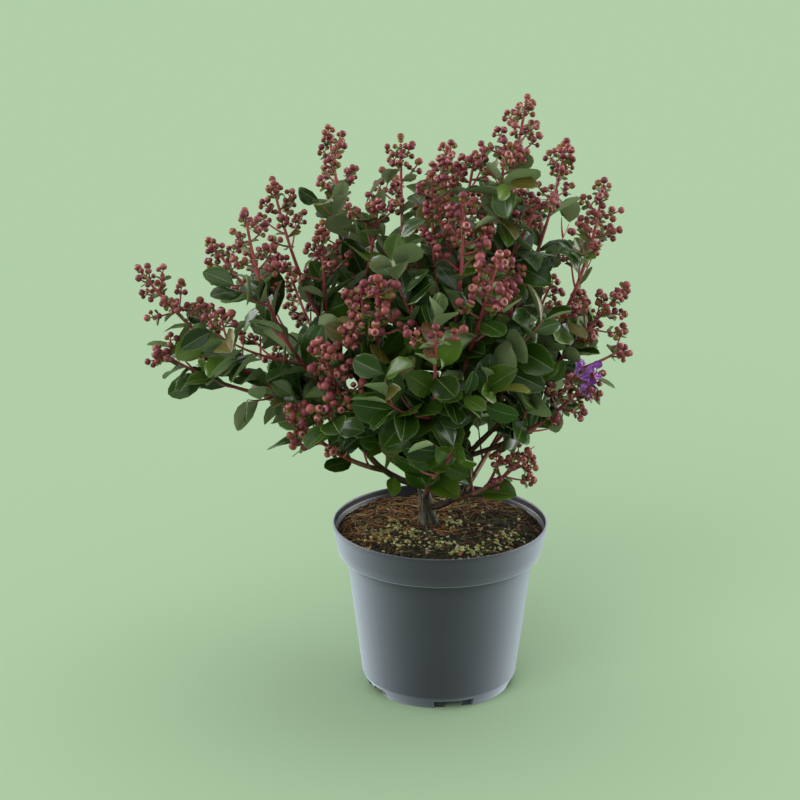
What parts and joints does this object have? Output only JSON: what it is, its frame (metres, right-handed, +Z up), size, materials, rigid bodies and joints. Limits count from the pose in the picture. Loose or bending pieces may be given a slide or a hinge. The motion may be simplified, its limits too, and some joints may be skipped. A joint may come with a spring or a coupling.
{
  "type": "potted crape myrtle",
  "caption": "Round plastic nursery pot of potting mix with a bushy crape myrtle: short leaning trunk, glossy dark leaves and upright panicles of round flower buds.",
  "frame": {"origin": "centre of the pot's flat underside, on the ground", "axes": "+Z up along the pot's axis; the side seen in the picture faces -Y, with +X to its right"},
  "size_m": [0.4297, 0.3138, 0.5405],
  "materials": {
    "pot": "satin dark grey polypropylene",
    "potting_mix": "rough moist coir and peat",
    "bark": "thin brown bark",
    "foliage": "glossy dark green leaves with dusty maroon buds"
  },
  "bodies": {
    "root": {"pot": "pot", "potting_mix": "potting_mix", "trunk": "bark", "bough_low_right": "bark", "bough_low_front": "bark", "bough_low_left": "bark", "bough_low_back": "bark", "bough_right": "bark", "bough_front": "bark", "bough_back_left": "bark", "bough_back_right": "bark", "bough_front_left": "bark", "bough_left": "bark", "bough_top_right": "bark", "bough_top_left": "bark", "bough_top": "bark", "foliage_low_right": "foliage", "foliage_low_right_back": "foliage", "foliage_low_front": "foliage", "foliage_low_left_front": "foliage", "foliage_low_left_back": "foliage", "foliage_low_back": "foliage", "foliage_right_blooms": "foliage", "foliage_right": "foliage", "foliage_front_low": "foliage", "foliage_front": "foliage", "foliage_back_left_low": "foliage", "foliage_back_left": "foliage", "foliage_back_right_low": "foliage", "foliage_back_right": "foliage", "foliage_front_left_low": "foliage", "foliage_front_left": "foliage", "foliage_far_left": "foliage", "foliage_left_back": "foliage", "foliage_right_top": "foliage", "foliage_crown_tip": "foliage", "foliage_right_top_back": "foliage", "foliage_left_top": "foliage", "foliage_left_top_back": "foliage", "foliage_left_crown": "foliage", "foliage_crown_back": "foliage", "foliage_crown": "foliage", "foliage_crown_front": "foliage"}
  },
  "joints": []
}
